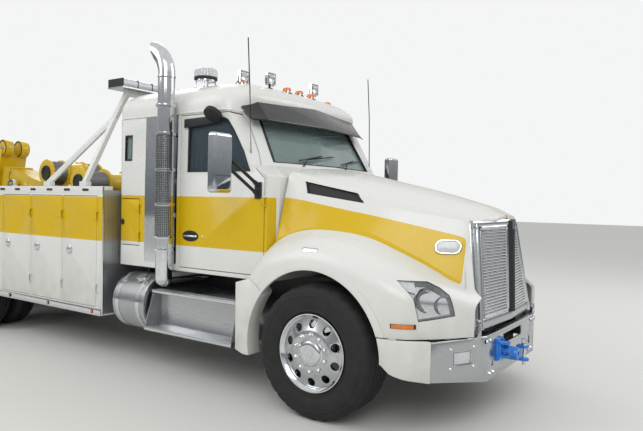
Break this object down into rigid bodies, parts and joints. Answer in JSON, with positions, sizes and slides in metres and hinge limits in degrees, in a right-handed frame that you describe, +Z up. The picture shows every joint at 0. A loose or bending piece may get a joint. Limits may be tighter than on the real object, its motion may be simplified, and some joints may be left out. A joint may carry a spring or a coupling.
{
  "type": "tow truck",
  "caption": "Heavy conventional tow truck with sleeper cab, tilting hood, tool-compartment body, telescoping recovery boom and folding underlift.",
  "frame": {"origin": "on the ground at the middle of the truck's length and width", "axes": "+X forward, +Y to the truck's left, +Z up"},
  "size_m": [9, 3.08, 3.15],
  "materials": {
    "white_paint": "gloss",
    "yellow_paint": "gloss",
    "blue_paint": "gloss",
    "black_steel": "satin",
    "chrome": "polished",
    "polished_steel": "polished",
    "tread_plate": "satin",
    "cast_iron": "matte",
    "black_plastic": "matte",
    "tyre_rubber": "matte",
    "tinted_glass": "gloss",
    "lamp_glass": "gloss"
  },
  "bodies": {
    "chassis": {"body_left": "white_paint", "body_right": "white_paint", "boom_turret": "yellow_paint", "bumper": "polished_steel", "cab_interior": "black_plastic", "cab_shell": "white_paint", "cab_steps": "tread_plate", "deck": "tread_plate", "engine": "cast_iron", "exhaust_stack": "chrome", "fender_trim": "white_paint", "fixed_glass": "tinted_glass", "frame_rails": "black_steel", "front_axle": "black_steel", "fuel_tanks": "polished_steel", "light_bar": "lamp_glass", "light_pylon": "white_paint", "rear_axles": "black_steel", "rear_lamps": "lamp_glass", "roof": "white_paint", "roof_lamps": "lamp_glass", "rub_rails": "polished_steel", "tailboard": "black_steel", "top_rails": "white_paint", "tow_hitch": "blue_paint", "underlift_mast": "black_steel", "visor": "black_plastic"},
    "hood": {"hood": "white_paint", "grille": "chrome", "headlamps": "lamp_glass"},
    "door_right": {"door_right": "white_paint", "door_glass_right": "tinted_glass", "mirror_right": "chrome"},
    "baggage_door_right": {"baggage_door_right": "white_paint"},
    "tool_door_1_right": {"tool_door_1_right": "white_paint"},
    "tool_door_2_right": {"tool_door_2_right": "white_paint"},
    "tool_door_3_right": {"tool_door_3_right": "white_paint"},
    "knuckle_right": {"knuckle_right": "black_steel"},
    "front_wheel_right": {"front_wheel_right": "tyre_rubber"},
    "rear_wheel_1_right": {"rear_wheel_1_right": "tyre_rubber"},
    "rear_wheel_2_right": {"rear_wheel_2_right": "tyre_rubber"},
    "door_left": {"door_left": "white_paint", "door_glass_left": "tinted_glass", "mirror_left": "chrome"},
    "baggage_door_left": {"baggage_door_left": "white_paint"},
    "tool_door_1_left": {"tool_door_1_left": "white_paint"},
    "tool_door_2_left": {"tool_door_2_left": "white_paint"},
    "tool_door_3_left": {"tool_door_3_left": "white_paint"},
    "knuckle_left": {"knuckle_left": "black_steel"},
    "front_wheel_left": {"front_wheel_left": "tyre_rubber"},
    "rear_wheel_1_left": {"rear_wheel_1_left": "tyre_rubber"},
    "rear_wheel_2_left": {"rear_wheel_2_left": "tyre_rubber"},
    "steering_wheel": {"steering_wheel": "black_plastic"},
    "boom": {"boom": "yellow_paint"},
    "boom_inner": {"boom_inner": "yellow_paint"},
    "lift_barrels": {"lift_barrels": "black_steel"},
    "lift_rods": {"lift_rods": "chrome"},
    "underlift_arm": {"underlift_arm": "yellow_paint"},
    "underlift_stage": {"underlift_stage": "yellow_paint"},
    "underlift_crossbar": {"underlift_crossbar": "yellow_paint"}
  },
  "joints": [
    {"name": "steer_right", "type": "hinge", "parent": "chassis", "child": "knuckle_right", "pos_m": [3.2, -0.9, 0.52], "axis": [0, 0, 1], "range_deg": [-32, 32]},
    {"name": "spin_front_right", "type": "hinge", "parent": "knuckle_right", "child": "front_wheel_right", "pos_m": [3.2, -1.055, 0.52], "axis": [0, 1, 0], "continuous": true},
    {"name": "steer_left", "type": "hinge", "parent": "chassis", "child": "knuckle_left", "pos_m": [3.2, 0.9, 0.52], "axis": [0, 0, 1], "range_deg": [-32, 32]},
    {"name": "spin_front_left", "type": "hinge", "parent": "knuckle_left", "child": "front_wheel_left", "pos_m": [3.2, 1.055, 0.52], "axis": [0, 1, 0], "continuous": true},
    {"name": "spin_rear_1_right", "type": "hinge", "parent": "chassis", "child": "rear_wheel_1_right", "pos_m": [-2.1, -0.91, 0.52], "axis": [0, 1, 0], "continuous": true},
    {"name": "spin_rear_1_left", "type": "hinge", "parent": "chassis", "child": "rear_wheel_1_left", "pos_m": [-2.1, 0.91, 0.52], "axis": [0, 1, 0], "continuous": true},
    {"name": "spin_rear_2_right", "type": "hinge", "parent": "chassis", "child": "rear_wheel_2_right", "pos_m": [-3.42, -0.91, 0.52], "axis": [0, 1, 0], "continuous": true},
    {"name": "spin_rear_2_left", "type": "hinge", "parent": "chassis", "child": "rear_wheel_2_left", "pos_m": [-3.42, 0.91, 0.52], "axis": [0, 1, 0], "continuous": true},
    {"name": "steering_wheel_turn", "type": "hinge", "parent": "chassis", "child": "steering_wheel", "pos_m": [2.08, 0.5, 1.8], "axis": [-0.8192, 0, 0.5736], "range_deg": [-360, 360]},
    {"name": "hood_tilt", "type": "hinge", "parent": "chassis", "child": "hood", "pos_m": [4.312, 0, 0.764], "axis": [0, 1, 0], "range_deg": [0, 60]},
    {"name": "door_right_swing", "type": "hinge", "parent": "chassis", "child": "door_right", "pos_m": [2.576, -1.07, 1.6], "axis": [0, 0, 1], "range_deg": [0, 70]},
    {"name": "baggage_door_right_swing", "type": "hinge", "parent": "chassis", "child": "baggage_door_right", "pos_m": [0.956, -1.07, 1.43], "axis": [0, 0, 1], "range_deg": [0, 90]},
    {"name": "tool_door_1_right_swing", "type": "hinge", "parent": "chassis", "child": "tool_door_1_right", "pos_m": [0.497, -1.232, 1.12], "axis": [0, 0, 1], "range_deg": [0, 100]},
    {"name": "tool_door_2_right_swing", "type": "hinge", "parent": "chassis", "child": "tool_door_2_right", "pos_m": [-0.123, -1.232, 1.12], "axis": [0, 0, 1], "range_deg": [0, 100]},
    {"name": "tool_door_3_right_swing", "type": "hinge", "parent": "chassis", "child": "tool_door_3_right", "pos_m": [-0.743, -1.232, 1.12], "axis": [0, 0, 1], "range_deg": [0, 100]},
    {"name": "door_left_swing", "type": "hinge", "parent": "chassis", "child": "door_left", "pos_m": [2.576, 1.07, 1.6], "axis": [0, 0, -1], "range_deg": [0, 70]},
    {"name": "baggage_door_left_swing", "type": "hinge", "parent": "chassis", "child": "baggage_door_left", "pos_m": [0.956, 1.07, 1.43], "axis": [0, 0, -1], "range_deg": [0, 90]},
    {"name": "tool_door_1_left_swing", "type": "hinge", "parent": "chassis", "child": "tool_door_1_left", "pos_m": [0.497, 1.232, 1.12], "axis": [0, 0, -1], "range_deg": [0, 100]},
    {"name": "tool_door_2_left_swing", "type": "hinge", "parent": "chassis", "child": "tool_door_2_left", "pos_m": [-0.123, 1.232, 1.12], "axis": [0, 0, -1], "range_deg": [0, 100]},
    {"name": "tool_door_3_left_swing", "type": "hinge", "parent": "chassis", "child": "tool_door_3_left", "pos_m": [-0.743, 1.232, 1.12], "axis": [0, 0, -1], "range_deg": [0, 100]},
    {"name": "boom_lift", "type": "hinge", "parent": "chassis", "child": "boom", "pos_m": [-1.3, 0, 1.43], "axis": [0, 1, 0], "range_deg": [0, 35]},
    {"name": "boom_extend", "type": "slide", "parent": "boom", "child": "boom_inner", "axis": [-0.9703, 0, 0.2419], "range_m": [0, 0.8]},
    {"name": "lift_barrel_swing", "type": "hinge", "parent": "chassis", "child": "lift_barrels", "pos_m": [-1.7, 0, 1.23], "axis": [0, 1, 0], "range_deg": [0, 39]},
    {"name": "lift_rod_extend", "type": "slide", "parent": "lift_barrels", "child": "lift_rods", "axis": [-0.8983, 0, 0.4394], "range_m": [0, 0.26]},
    {"name": "underlift_fold", "type": "hinge", "parent": "chassis", "child": "underlift_arm", "pos_m": [-4.36, 0, 0.56], "axis": [0, -1, 0], "range_deg": [0, 90]},
    {"name": "underlift_extend", "type": "slide", "parent": "underlift_arm", "child": "underlift_stage", "axis": [0, 0, 1], "range_m": [0, 0.3]},
    {"name": "crossbar_swing", "type": "hinge", "parent": "underlift_stage", "child": "underlift_crossbar", "pos_m": [-4.46, 0, 1.56], "axis": [1, 0, 0], "range_deg": [-45, 45]}
  ],
  "couplings": [
    {"joint": "steer_left", "follows": "steering_wheel_turn", "ratio": 0.088889},
    {"joint": "steer_right", "follows": "steering_wheel_turn", "ratio": 0.088889},
    {"joint": "lift_barrel_swing", "follows": "boom_lift", "ratio": 1.107},
    {"joint": "lift_rod_extend", "follows": "boom_lift", "m_per_rad": 0.412}
  ]
}
